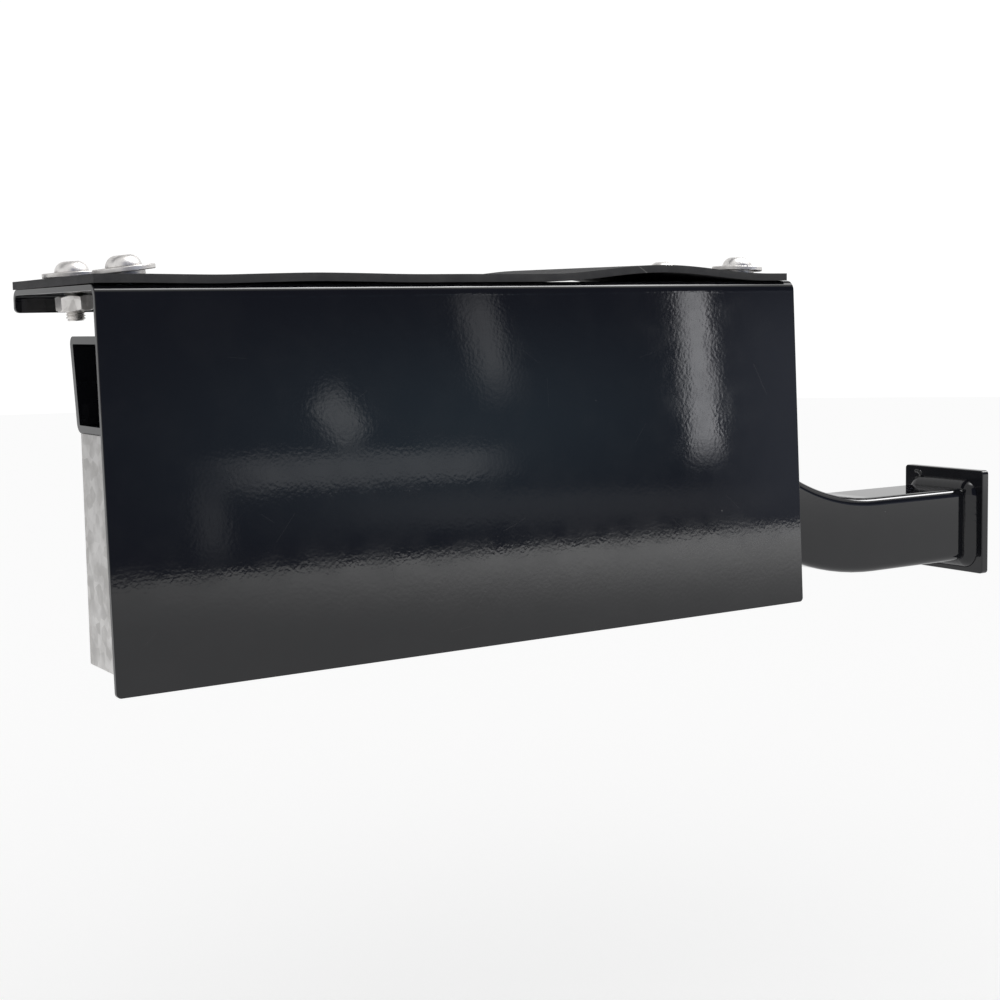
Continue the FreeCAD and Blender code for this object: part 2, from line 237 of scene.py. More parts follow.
@dataclass(frozen=True)
class Effects:
    """Node groups that several finishes share."""

    orange_peel: bpy.types.NodeTree
    dust: bpy.types.NodeTree
    hairlines: bpy.types.NodeTree
    pitting: bpy.types.NodeTree
    brake_mark: bpy.types.NodeTree

    @classmethod
    def build(cls) -> "Effects":
        """Build every shared group once."""
        return cls(cls.make_orange_peel(), cls.make_dust(), cls.make_hairlines(), cls.make_pitting(),
                   cls.make_brake_mark())

    @staticmethod
    def make_orange_peel() -> bpy.types.NodeTree:
        """Soft dimpled skin of a flowed coating: a fine cell with a long, slow swell.

        Returns:
            The group, with a Height in metres.
        """
        group, wire, entry, leave = new_group(
            "OrangePeel", {"Cell": 2.4 * MM, "Dimple": 1.0e-5, "Swell": 3.0e-5}, ["Height"])
        where = wire.place()
        per_metre = wire.sums("DIVIDE", 1.0, entry.outputs["Cell"])
        fine = wire.clouds(where, per_metre, 1.0, 0.4)
        slow = wire.clouds(where, wire.sums("MULTIPLY", per_metre, 0.16), 0.5, 0.3)
        skin = wire.sums("MULTIPLY", fine, entry.outputs["Dimple"])
        swell = wire.sums("MULTIPLY", slow, entry.outputs["Swell"])
        group.links.new(wire.sums("ADD", skin, swell), leave.inputs["Height"])
        return group

    @staticmethod
    def make_dust() -> bpy.types.NodeTree:
        """Sparse dust specks of mixed size, and a faint uneven film.

        Returns:
            The group, with a Specks and a Film mask.
        """
        group, wire, entry, leave = new_group("Dust", {"Spacing": 9.0 * MM, "Speck": 0.022},
                                              ["Specks", "Film"])
        where = wire.place()
        per_metre = wire.sums("DIVIDE", 1.0, entry.outputs["Spacing"])
        near = wire.cells(where, per_metre)
        chance = wire.add("SeparateColor", {0: wire.cells(where, per_metre, "Color")})
        size = wire.sums("MULTIPLY", entry.outputs["Speck"],
                         wire.span(chance.outputs[0], 0.55, 1.0, 0.0, 2.6))
        speck = wire.sums("LESS_THAN", near, size)
        film = wire.clouds(where, 38.0, 4.0, 0.6)
        group.links.new(wire.sums("MULTIPLY", speck, chance.outputs[1]), leave.inputs["Specks"])
        group.links.new(wire.span(film, 0.42, 0.72), leave.inputs["Film"])
        return group

    @staticmethod
    def make_hairlines() -> bpy.types.NodeTree:
        """Short straight scratches, scattered in all directions: one in each of some scattered cells.

        Returns:
            The group, with a Lines mask.
        """
        group, wire, entry, leave = new_group(
            "Hairlines", {"Spacing": 40.0 * MM, "Width": 0.1 * MM, "Reach": 16.0 * MM}, ["Lines"])
        total: Feed = 0.0
        for turn in (0.4, 1.5):
            where = wire.place((1.0, 1.0, 1.0), (turn, 0.6 * turn, -turn))
            feeds = {"Vector": where, "Scale": wire.sums("DIVIDE", 1.0, entry.outputs["Spacing"])}
            cell = wire.add("TexVoronoi", feeds, feature="F1")
            off = wire.add("VectorMath", {0: where, 1: cell.outputs["Position"]},
                           operation="SUBTRACT").outputs[0]
            lean = wire.add("VectorMath", {0: cell.outputs["Color"], 1: (0.5, 0.5, 0.5)},
                            operation="SUBTRACT")
            across = wire.add("VectorMath", {0: lean.outputs[0]}, operation="NORMALIZE").outputs[0]
            gap = wire.add("VectorMath", {0: off, 1: across}, operation="DOT_PRODUCT").outputs["Value"]
            line = wire.sums("LESS_THAN", wire.sums("ABSOLUTE", gap), entry.outputs["Width"])
            chance = wire.add("SeparateColor", {0: cell.outputs["Color"]}).outputs[2]
            reach = wire.sums("MULTIPLY", entry.outputs["Reach"], wire.span(chance, 0.35, 1.0))
            length = wire.add("VectorMath", {0: off}, operation="LENGTH").outputs["Value"]
            short = wire.sums("LESS_THAN", length, reach)
            total = wire.sums("ADD", total, wire.sums("MULTIPLY", line, short))
        group.links.new(wire.sums("MINIMUM", total, 1.0), leave.inputs["Lines"])
        return group

    @staticmethod
    def make_brake_mark() -> bpy.types.NodeTree:
        """Faint broken ridge that a press brake leaves across a sheet, at one height.

        Returns:
            The group, with a Height in metres.
        """
        group, wire, entry, leave = new_group(
            "BrakeMark", {"Level": 0.0, "Half Width": 0.7 * MM, "Ridge": 1.0e-5}, ["Height"])
        up = wire.add("SeparateXYZ", {0: wire.add("TexCoord").outputs["Object"]}).outputs[2]
        wander = wire.sums("MULTIPLY", wire.sums("SUBTRACT", wire.clouds(wire.place(), 60.0, 2.0), 0.5),
                           0.8 * MM)
        off = wire.sums("ABSOLUTE",
                        wire.sums("SUBTRACT", wire.sums("ADD", up, wander), entry.outputs["Level"]))
        near = wire.sums("SUBTRACT", 1.0, wire.sums("DIVIDE", off, entry.outputs["Half Width"]), True)
        broken = wire.span(wire.clouds(wire.place(), 260.0, 3.0), 0.35, 0.6)
        ridge = wire.sums("MULTIPLY", wire.sums("MULTIPLY", near, broken), entry.outputs["Ridge"])
        group.links.new(ridge, leave.inputs["Height"])
        return group

    @staticmethod
    def make_pitting() -> bpy.types.NodeTree:
        """Fine even grain with a few deeper pits.

        Returns:
            The group, with a Grain and a Pits value.
        """
        group, wire, entry, leave = new_group("Pitting", {"Cell": 0.5 * MM}, ["Grain", "Pits"])
        where = wire.place()
        per_metre = wire.sums("DIVIDE", 1.0, entry.outputs["Cell"])
        group.links.new(wire.clouds(where, per_metre, 4.0, 0.65), leave.inputs["Grain"])
        pits = wire.cells(where, wire.sums("MULTIPLY", per_metre, 0.35))
        group.links.new(wire.span(pits, 0.05, 0.22), leave.inputs["Pits"])
        return group


class Finish:
    """Base of every finish: starts a material and closes it with its shader."""

    name: str = "finish"

    def start(self) -> tuple[bpy.types.Material, Wiring, bpy.types.Node]:
        """Start a material with an unlinked Principled shader.

        Returns:
            The material, its wiring and its shader.
        """
        material = bpy.data.materials.new(self.name)
        material.use_nodes = True
        material.node_tree.nodes.clear()
        wire = Wiring(material.node_tree)
        shader = wire.add("BsdfPrincipled")
        wire.add("OutputMaterial", {"Surface": shader.outputs[0]})
        return material, wire, shader

    @staticmethod
    def use(wire: Wiring, group: bpy.types.NodeTree, **values: Feed) -> bpy.types.Node:
        """Place a shared group in a material.

        Args:
            wire: Wiring of the material.
            group: The group.
            **values: Values of its inputs.

        Returns:
            The group's node.
        """
        made = wire.add("Group", node_tree=group)
        for socket, value in values.items():
            made.inputs[socket].default_value = value
        return made

    @staticmethod
    def bump(wire: Wiring, shader: bpy.types.Node, height: Feed, strength: float = 1.0) -> None:
        """Feed a height in metres to the shader's normal.

        Args:
            wire: Wiring of the material.
            shader: Shader that gets the normal.
            height: Height in metres.
            strength: Share of the bump that shows.
        """
        made = wire.add("Bump", {"Height": height, "Distance": 1.0, "Strength": strength})
        wire.tree.links.new(made.outputs[0], shader.inputs["Normal"])


@dataclass(frozen=True)
class GlossCoat(Finish):
    """Gloss black powder coat: deep blue-black, light orange peel, a little dust and a few fine scratches."""

    name: str = "gloss_black_coat"
    colour: Colour = (0.0048, 0.0052, 0.0068, 1.0)
    dust_colour: Colour = (0.20, 0.195, 0.19, 1.0)
    roughness: float = 0.035
    ior: float = 1.47
    cell: float = 1.9 * MM
    dimple: float = 0.75e-5
    swell: float = 1.0e-5
    scratch: float = 0.05
    brake_level: float | None = None

    def build(self, effects: Effects) -> bpy.types.Material:
        """Build the material.

        Args:
            effects: Shared groups.

        Returns:
            The material.
        """
        material, wire, shader = self.start()
        shader.inputs["IOR"].default_value = self.ior
        dust = self.use(wire, effects.dust, Spacing=11.0 * MM, Speck=0.016)
        lines = self.use(wire, effects.hairlines, Spacing=38.0 * MM, Width=0.08 * MM, Reach=11.0 * MM)
        settled = wire.sums("MULTIPLY", dust.outputs["Film"], 0.008)
        cover = wire.sums("ADD", settled, wire.sums("MULTIPLY", dust.outputs["Specks"], 0.5))
        marked = wire.sums("ADD", cover, wire.sums("MULTIPLY", lines.outputs["Lines"], self.scratch), True)
        wire.tree.links.new(wire.blend(marked, self.colour, self.dust_colour), shader.inputs["Base Color"])
        patchy = wire.span(wire.clouds(wire.place(), 55.0, 3.0), 0.3, 0.75, self.roughness,
                           self.roughness + 0.03)
        rough = wire.sums("ADD", patchy, wire.sums("MULTIPLY", marked, 0.8), True)
        wire.tree.links.new(rough, shader.inputs["Roughness"])
        peel = self.use(wire, effects.orange_peel, Cell=self.cell, Dimple=self.dimple, Swell=self.swell)
        height = peel.outputs["Height"]
        if self.brake_level is not None:
            mark = self.use(wire, effects.brake_mark, Level=self.brake_level)
            height = wire.sums("ADD", height, mark.outputs["Height"])
        self.bump(wire, shader, height)
        return material


@dataclass(frozen=True)
class RubberFinish(Finish):
    """Matt charcoal rubber: fine grain with pits, rubbed patches, and pale dust specks and scratches."""

    name: str = "charcoal_rubber"
    colour: Colour = (0.022, 0.022, 0.024, 1.0)
    rubbed: Colour = (0.036, 0.036, 0.037, 1.0)
    bloom: Colour = (0.24, 0.235, 0.23, 1.0)

    def build(self, effects: Effects) -> bpy.types.Material:
        """Build the material.

        Args:
            effects: Shared groups.

        Returns:
            The material.
        """
        material, wire, shader = self.start()
        shader.inputs["Specular IOR Level"].default_value = 0.32
        grain = self.use(wire, effects.pitting, Cell=0.45 * MM)
        dust = self.use(wire, effects.dust, Spacing=4.5 * MM, Speck=0.035)
        lines = self.use(wire, effects.hairlines, Spacing=26.0 * MM, Width=0.12 * MM, Reach=7.0 * MM)
        patches = wire.span(wire.clouds(wire.place(), 70.0, 5.0, 0.62), 0.35, 0.75)
        worn = wire.blend(patches, self.colour, self.rubbed)
        specks = wire.sums("MULTIPLY", dust.outputs["Specks"], 0.5)
        marks = wire.sums("ADD", specks, wire.sums("MULTIPLY", lines.outputs["Lines"], 0.6), True)
        wire.tree.links.new(wire.blend(marks, worn, self.bloom), shader.inputs["Base Color"])
        rough = wire.span(grain.outputs["Grain"], 0.25, 0.8, 0.62, 0.86)
        wire.tree.links.new(rough, shader.inputs["Roughness"])
        skin = wire.sums("MULTIPLY", grain.outputs["Grain"], 6.0e-5)
        holes = wire.sums("MULTIPLY", grain.outputs["Pits"], 3.0e-5)
        self.bump(wire, shader, wire.sums("ADD", skin, holes))
        return material


@dataclass(frozen=True)
class BareMetal(Finish):
    """Bare metal with a grain, cloudy tarnish and small handling marks."""

    name: str = "tumbled_stainless"
    bright: Colour = (0.88, 0.86, 0.84, 1.0)
    dull: Colour = (0.66, 0.64, 0.62, 1.0)
    smooth: float = 0.34
    rough: float = 0.52
    grain: Grain = Grain.NONE
    grain_cell: float = 0.35 * MM
    grain_depth: float = 1.2e-5
    mottle: float = 9.0 * MM

    def build(self, effects: Effects) -> bpy.types.Material:
        """Build the material.

        Args:
            effects: Shared groups.

        Returns:
            The material.
        """
        material, wire, shader = self.start()
        shader.inputs["Metallic"].default_value = 1.0
        where = wire.place()
        cloud = wire.clouds(where, 1.0 / self.mottle, 4.0, 0.6)
        flakes = wire.add("SeparateColor", {0: wire.cells(where, 2.2 / self.mottle, "Color")}).outputs[0]
        tarnish = wire.sums("ADD", wire.sums("MULTIPLY", cloud, 0.8), wire.sums("MULTIPLY", flakes, 0.2))
        tarnish = wire.span(tarnish, 0.30, 0.72)
        lines = self.use(wire, effects.hairlines, Spacing=9.0 * MM, Width=0.07 * MM, Reach=5.0 * MM)
        tone = wire.sums("ADD", tarnish, wire.sums("MULTIPLY", lines.outputs["Lines"], 0.5), True)
        wire.tree.links.new(wire.blend(tone, self.bright, self.dull), shader.inputs["Base Color"])
        drawn = wire.clouds(wire.place(self.grain.value), 1.0 / self.grain_cell, 3.0, 0.6)
        wire.tree.links.new(
            wire.span(wire.sums("ADD", wire.sums("MULTIPLY", tarnish, 0.6),
                                wire.sums("MULTIPLY", drawn, 0.4)),
                      0.15, 0.85, self.smooth, self.rough), shader.inputs["Roughness"])
        self.bump(wire, shader, wire.sums("MULTIPLY", drawn, self.grain_depth))
        return material


# ---------------------------------------------------------------------------------------------------------
# Mesh helpers
# ---------------------------------------------------------------------------------------------------------


def new_verts(result: dict) -> list[BMVert]:
    """Vertices in an operator's result.

    Args:
        result: What an extrude, spin or create call returned.

    Returns:
        The vertices.
    """
    return [item for item in result.get("geom", result.get("geom_last", [])) if isinstance(item, BMVert)]


def sweep(bm: BMesh, section: Sequence[Vector], frames: Sequence[Matrix], closed: bool) -> None:
    """Carry a closed section from frame to frame by extrusion.

    Args:
        bm: Mesh that the bar is added to.
        section: Points of the section, in order, in the frames' own axes.
        frames: Place, turn and size of the section at each step.
        closed: Whether the last step joins the first, or both ends are capped.
    """
    ring = [bm.verts.new(frames[0] @ point) for point in section]
    first = [bm.edges.new(pair) for pair in zip(ring, ring[1:] + ring[:1])]
    edges: list[BMEdge] = first
    for before, after in zip(frames, frames[1:]):
        made = bmesh.ops.extrude_edge_only(bm, edges=edges)["geom"]
        edges = [item for item in made if isinstance(item, BMEdge)]
        moved = [item for item in made if isinstance(item, BMVert)]
        rim = set(moved)
        edges = [edge for edge in edges if edge.verts[0] in rim and edge.verts[1] in rim]
        bmesh.ops.transform(bm, matrix=after @ before.inverted(), verts=moved)
    if closed:
        bmesh.ops.bridge_loops(bm, edges=first + edges)
    else:
        bmesh.ops.contextual_create(bm, geom=first)
        bmesh.ops.contextual_create(bm, geom=edges)


def bead_section(leg: float, bulge: float, lag: float, sink: float) -> list[Vector]:
    """Section of a fillet bead, whose crown lags behind its feet.

    Args:
        leg: Size of both legs.
        bulge: How far the crown stands out of the straight line between the toes.
        lag: How far the crown lies back along the bead.
        sink: How deep the bead's back sits in the two plates.

    Returns:
        Section points: x out along one plate, y up the other, z along the bead.
    """
    count = 8
    points = [Vector((-sink, -sink, 0.0)), Vector((leg, -sink, 0.0))]
    for step in range(count + 1):
        share = step / count
        crown = 4.0 * share * (1.0 - share)
        line = Vector((leg * (1.0 - share), leg * share, 0.0))
        out = Vector((1.0, 1.0, 0.0)).normalized() * bulge * crown
        points.append(line + out - Vector((0.0, 0.0, lag * crown)))
    points.append(Vector((-sink, leg, 0.0)))
    return points


def ripple(along: float, pitch: float, depth: float, seed: float) -> float:
    """Size of a bead at a place along it, with overlapping ripples and slow unevenness.

    Args:
        along: Distance along the bead.
        pitch: Distance between ripples.
        depth: How deep a ripple is, as a share of the bead's size.
        seed: Where in the noise this bead reads.

    Returns:
        Scale of the bead's section.
    """
    wander = noise.noise(Vector((along / (6.0 * pitch), seed, 0.0)))
    phase = along / pitch + 0.35 * noise.noise(Vector((along / (2.0 * pitch), seed, 9.0)))
    crest = abs(math.sin(math.pi * phase))
    return 1.0 - depth * (1.0 - crest) + 0.07 * wander


@dataclass
class Assembly:
    """Base of every sub-assembly: turns a bmesh into a finished piece."""

    def finish_piece(self, bm: BMesh, name: str, material: bpy.types.Material, slot: Slot,
                     replaces: Sequence[str] = (), sharp_from: float = 40.0) -> bpy.types.Object:
        """Close a mesh, dress it, and tie it to the part.

        Args:
            bm: The mesh, which is freed.
            name: Name of the piece.
            material: Its finish.
            slot: The record's slot that the finish stands for; not used.
            replaces: CAD nodes that the piece stands for.
            sharp_from: Angle in degrees from which an edge is drawn sharp.

        Returns:
            The piece.
        """
        bmesh.ops.remove_doubles(bm, verts=bm.verts, dist=1.0e-6)
        bmesh.ops.recalc_face_normals(bm, faces=bm.faces)
        mesh = bpy.data.meshes.new(name)
        bm.to_mesh(mesh)
        bm.free()
        mesh.polygons.foreach_set("use_smooth", [True] * len(mesh.polygons))
        mesh.set_sharp_from_angle(angle=math.radians(sharp_from))
        mesh.materials.append(material)
        piece = bpy.data.objects.new(name, mesh)
        bpy.context.collection.objects.link(piece)
        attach(piece, "root")
        if replaces:
            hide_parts(*replaces)
        LOG.info("%s: %d vertices, %d faces", name, len(mesh.vertices), len(mesh.polygons))
        return piece


# ---------------------------------------------------------------------------------------------------------
# Sub-assemblies
# ---------------------------------------------------------------------------------------------------------


@dataclass
class ScrewSeats:
    """Where the four screws of the hood stand, and how each one leans."""

    inset: float = 22.5 * MM
    pitch_x: float = 384.0 * MM
    front: float = 22.5 * MM
    pitch_y: float = 71.0 * MM
    rubber: float = 4.2 * MM
    setback: float = 0.6 * MM
    # Column, row, shift along X, extra lift, lean towards -X in degrees.
    seats: tuple[tuple[int, int, float, float, float], ...] = (
        (0, 1, -1.0 * MM, -0.3 * MM, 3.0),
        (0, 0, 0.9 * MM, 0.15 * MM, 6.5),
        (1, 0, 0.4 * MM, 0.1 * MM, -2.2),
        (1, 1, 0.0, 0.05 * MM, 0.6),
    )

    def hole(self, column: int, row: int) -> Vector:
        """Centre of a hole on the hood's top face.

        Args:
            column: 0 at the left, 1 at the right.
            row: 0 in front, 1 behind.

        Returns:
            The place.
        """
        left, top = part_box("hood_shell")[0].x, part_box("hood_shell")[1].z
        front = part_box("rubber_top_sheet")[0].y - self.setback
        return Vector((left + self.inset + column * self.pitch_x, front + self.front + row * self.pitch_y,
                       top))

    def frames(self, height: float) -> list[Matrix]:
        """Frame of each screw, at a height along its axis above the rubber's top.

        Args:
            height: Height along the screw's axis.

        Returns:
            One matrix for each screw.
        """
        found = []
        for column, row, shift, lift, lean in self.seats:
            base = self.hole(column, row) + Vector((shift, 0.0, self.rubber))
            tilt = Matrix.Rotation(math.radians(-lean), 4, "Y")
            found.append(Matrix.Translation(base) @ tilt @ Matrix.Translation((0.0, 0.0, height + lift)))
        return found


@dataclass
class RubberSheet(Assembly):
    """Rubber sheet that lies on the hood in shallow waves and is held at its four corners."""

    seats: ScrewSeats
    thickness: float = 4.2 * MM
    lift: float = 0.05 * MM
    edge: float = 0.35 * MM
    hole_radius: float = 6.5 * MM
    skew: float = 10.0 * MM
    rear_rise: float = 0.9 * MM
    # Radius of each washer, and height of its underside above the small one's.
    washers: tuple[tuple[float, float], ...] = ((10.2 * MM, 0.0), (15.2 * MM, 2.0 * MM))
    # Place from the sheet's left end, half length, and height of each wave.
    waves: tuple[tuple[float, float, float], ...] = (
        (8.0 * MM, 60.0 * MM, 0.6 * MM),
        (116.0 * MM, 62.0 * MM, 0.9 * MM),
        (334.0 * MM, 80.0 * MM, 4.9 * MM),
    )

    def wave(self, run: float, back: float) -> float:
        """Height of the sheet's underside above the hood.

        Args:
            run: Distance from the left end.
            back: Share of the way from the front edge to the rear one.

        Returns:
            The height.
        """
        total = 0.0
        for number, (place, reach, height) in enumerate(self.waves):
            if number == 0:
                height *= (1.0 - back) ** 1.5
            off = abs(run + self.skew * back * height / (4.8 * MM) - place) / reach
            if off < 1.0:
                grown = height + self.rear_rise * back * height / (4.8 * MM)
                total += grown * 0.5 * (1.0 + math.cos(math.pi * off))
        return total

    def build(self, material: bpy.types.Material) -> bpy.types.Object:
        """Build the sheet.

        Args:
            material: Its finish.

        Returns:
            The piece.
        """
        low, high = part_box("rubber_top_sheet")
        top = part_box("hood_shell")[1].z
        size = high - low
        bm = bmesh.new()
        bmesh.ops.create_grid(bm, x_segments=200, y_segments=56, size=0.5)
        bmesh.ops.scale(bm, vec=(size.x, size.y, 1.0), verts=bm.verts)
        bmesh.ops.translate(bm, vec=((low.x + high.x) / 2.0, (low.y + high.y) / 2.0, top + self.lift),
                            verts=bm.verts)
        for column in (0, 1):
            for row in (0, 1):
                self.open_hole(bm, self.seats.hole(column, row))
        made = bmesh.ops.extrude_face_region(bm, geom=bm.faces[:], use_keep_orig=True)
        upper = new_verts(made)
        bmesh.ops.translate(bm, vec=(0.0, 0.0, self.thickness), verts=upper)
        bmesh.ops.recalc_face_normals(bm, faces=bm.faces)
        rim = [edge for edge in bm.edges if len(edge.link_faces) == 2 and edge.calc_face_angle(0.0) > 1.0]
        bmesh.ops.bevel(bm, geom=rim, offset=self.edge, offset_type="OFFSET", affect="EDGES", segments=2,
                        profile=0.5, material=-1, clamp_overlap=True)
        seated = [(frame_at, frame_at.inverted()) for frame_at in self.seats.frames(0.0)]
        for vert in bm.verts:
            back = (vert.co.y - low.y) / size.y
            above = vert.co.z > top + self.lift + 0.5 * self.thickness
            vert.co.z += self.wave(vert.co.x - low.x, back)
            if above:
                vert.co = self.pressed(vert.co, seated)
            cut = 0.16 * MM * noise.noise(Vector((vert.co.x * 55.0, back * 3.0, 0.5)))
            if back < 0.02 or back > 0.98:
                vert.co.y += cut
                vert.co.z += 0.35 * cut
        return self.finish_piece(bm, "rubber_sheet", material, Slot.RUBBER, ["rubber_top_sheet"], 50.0)

    def pressed(self, point: Vector, seated: Sequence[tuple[Matrix, Matrix]]) -> Vector:
        """Place of a point of the top face once the washers have pressed in.

        Args:
            point: Place before.
            seated: Frame of each screw, with its inverse.

        Returns:
            The place after.
        """
        for frame_at, inverse in seated:
            local = inverse @ point
            for radius, rise in self.washers:
                if local.xy.length < radius and local.z > rise - self.lift:
                    local.z = rise - self.lift
            point = frame_at @ local
        return point

    def open_hole(self, bm: BMesh, centre: Vector) -> None:
        """Open a round screw hole in the flat sheet.

        Args:
            bm: Mesh of the sheet.
            centre: Centre of the hole.
        """
        def off(point: Vector) -> Vector:
            """Step in the sheet's plane from the hole's centre to a point."""
            return Vector((point.x - centre.x, point.y - centre.y, 0.0))

        inside = [face for face in bm.faces if off(face.calc_center_median()).length < self.hole_radius]
        bmesh.ops.delete(bm, geom=inside, context="FACES")
        for vert in bm.verts:
            step = off(vert.co)
            if vert.is_boundary and step.length < 1.8 * self.hole_radius:
                vert.co.xy = (Vector((centre.x, centre.y, 0.0)) + step.normalized() * self.hole_radius).xy


@dataclass
class ButtonScrews(Assembly):
    """Four M10 button head screws with hexagon sockets and cut threads."""

    seats: ScrewSeats
    above_rubber: float = 4.5 * MM
    head_radius: float = 8.75 * MM
    head_height: float = 5.5 * MM
    flat_radius: float = 4.2 * MM
    shoulder: float = 0.6 * MM
    dome: float = 1.0 * MM
    socket_flats: float = 6.0 * MM
    socket_depth: float = 3.1 * MM
    thread_radius: float = 5.0 * MM
    root_radius: float = 4.15 * MM
    pitch: float = 1.5 * MM
    length: float = 25.0 * MM
    chamfer: float = 1.0 * MM
    around: int = 48

    def build(self, material: bpy.types.Material) -> bpy.types.Object:
        """Build the four screws as one piece.

        Args:
            material: Their finish.

        Returns:
            The piece.
        """
        bm = bmesh.new()
        for place in self.seats.frames(self.above_rubber):
            old = set(bm.verts)
            self.add_head(bm)
            self.add_thread(bm)
            bmesh.ops.transform(bm, matrix=place, verts=[vert for vert in bm.verts if vert not in old])
        return self.finish_piece(bm, "button_screws", material, Slot.STAINLESS, ["hood_button_screws"], 32.0)

    def add_head(self, bm: BMesh) -> None:
        """Add a domed head with its socket, underside at z = 0.

        Args:
            bm: Mesh that the head is added to.
        """
        outline = [Vector((0.0, 0.0, 0.0)), Vector((self.head_radius - 0.3 * MM, 0.0, 0.0)),
                   Vector((self.head_radius, 0.0, 0.25 * MM)), Vector((self.head_radius, 0.0, self.shoulder))]
        brow = Vector((self.flat_radius, 0.0, self.head_height))
        out = Vector((brow.z - outline[-1].z, 0.0, outline[-1].x - brow.x)).normalized() * self.dome
        start, count = outline[-1], 10
        for step in range(1, count + 1):
            share = step / count
            outline.append(start.lerp(brow, share) + out * 4.0 * share * (1.0 - share))
        chain = [bm.verts.new(point) for point in outline]
        edges = [bm.edges.new(pair) for pair in zip(chain, chain[1:])]
        bmesh.ops.spin(bm, geom=chain + edges, cent=(0, 0, 0), axis=(0, 0, 1), dvec=(0, 0, 0),
                       angle=2.0 * math.pi, steps=self.around, use_merge=True, use_duplicate=False)
        rim = [edge for edge in bm.edges if edge.is_boundary
               and all(abs(vert.co.z - self.head_height) < 1e-7 and vert.co.xy.length < self.flat_radius * 1.01
                       for vert in edge.verts)]
        corner = self.socket_flats / math.sqrt(3.0)
        hexagon = bmesh.ops.create_circle(bm, segments=self.around, radius=corner + 0.25 * MM)["verts"]
        for vert in hexagon:
            turn = math.atan2(vert.co.y, vert.co.x) % (math.pi / 3.0) - math.pi / 6.0
            vert.co.xy = vert.co.xy * (math.cos(math.pi / 6.0) / math.cos(turn))
        bmesh.ops.translate(bm, vec=(0, 0, self.head_height), verts=hexagon)
        mouth = list({edge for vert in hexagon for edge in vert.link_edges})
        bmesh.ops.bridge_loops(bm, edges=rim + mouth)
        drops = ((corner / (corner + 0.25 * MM), -0.25 * MM), (1.0, 0.25 * MM - self.socket_depth),
                 (0.08, -0.9 * MM))
        for shrink, drop in drops:
            made = bmesh.ops.extrude_edge_only(bm, edges=mouth)["geom"]
            moved = [item for item in made if isinstance(item, BMVert)]
            rim_set = set(moved)
            mouth = [item for item in made if isinstance(item, BMEdge) and set(item.verts) <= rim_set]
            bmesh.ops.scale(bm, vec=(shrink, shrink, 1.0), verts=moved)
            bmesh.ops.translate(bm, vec=(0, 0, drop), verts=moved)
        bmesh.ops.contextual_create(bm, geom=mouth)

    def add_thread(self, bm: BMesh) -> None:
        """Add the threaded shank, from inside the head down to its chamfered end.

        Args:
            bm: Mesh that the shank is added to.
        """
        work = bmesh.new()
        steps = 32
        turns = int(self.length / self.pitch) + 3
        start = 1.5 * self.pitch
        shape = ((self.root_radius, 0.0), (self.thread_radius, 0.41), (self.thread_radius, 0.53),
                 (self.root_radius, 0.94), (self.root_radius, 1.0))
        chain = [work.verts.new((radius, 0.0, start - share * self.pitch)) for radius, share in shape]
        edges = [work.edges.new(pair) for pair in zip(chain, chain[1:])]
        bmesh.ops.spin(work, geom=chain + edges, cent=(0, 0, 0), axis=(0, 0, 1),
                       dvec=(0, 0, -self.pitch / steps), angle=-2.0 * math.pi * turns, steps=steps * turns,
                       use_merge=False, use_duplicate=False)
        bmesh.ops.remove_doubles(work, verts=work.verts, dist=2.0e-6)
        for height, way in ((0.4 * MM, 1.0), (-self.length, -1.0)):
            bmesh.ops.bisect_plane(work, geom=work.verts[:] + work.edges[:] + work.faces[:], dist=1e-7,
                                   plane_co=(0, 0, height), plane_no=(0, 0, way), clear_outer=True)
            rim = [edge for edge in work.edges if edge.is_boundary
                   and all(abs(vert.co.z - height) < 1e-6 for vert in edge.verts)]
            bmesh.ops.contextual_create(work, geom=rim)
        for vert in work.verts:
            limit = self.thread_radius - self.chamfer + (vert.co.z + self.length)
            reach = vert.co.xy.length
            if reach > limit:
                vert.co.xy = vert.co.xy * (limit / reach)
        mesh = bpy.data.meshes.new("thread_work")
        work.to_mesh(mesh)
        work.free()
        bm.from_mesh(mesh)
        bpy.data.meshes.remove(mesh)


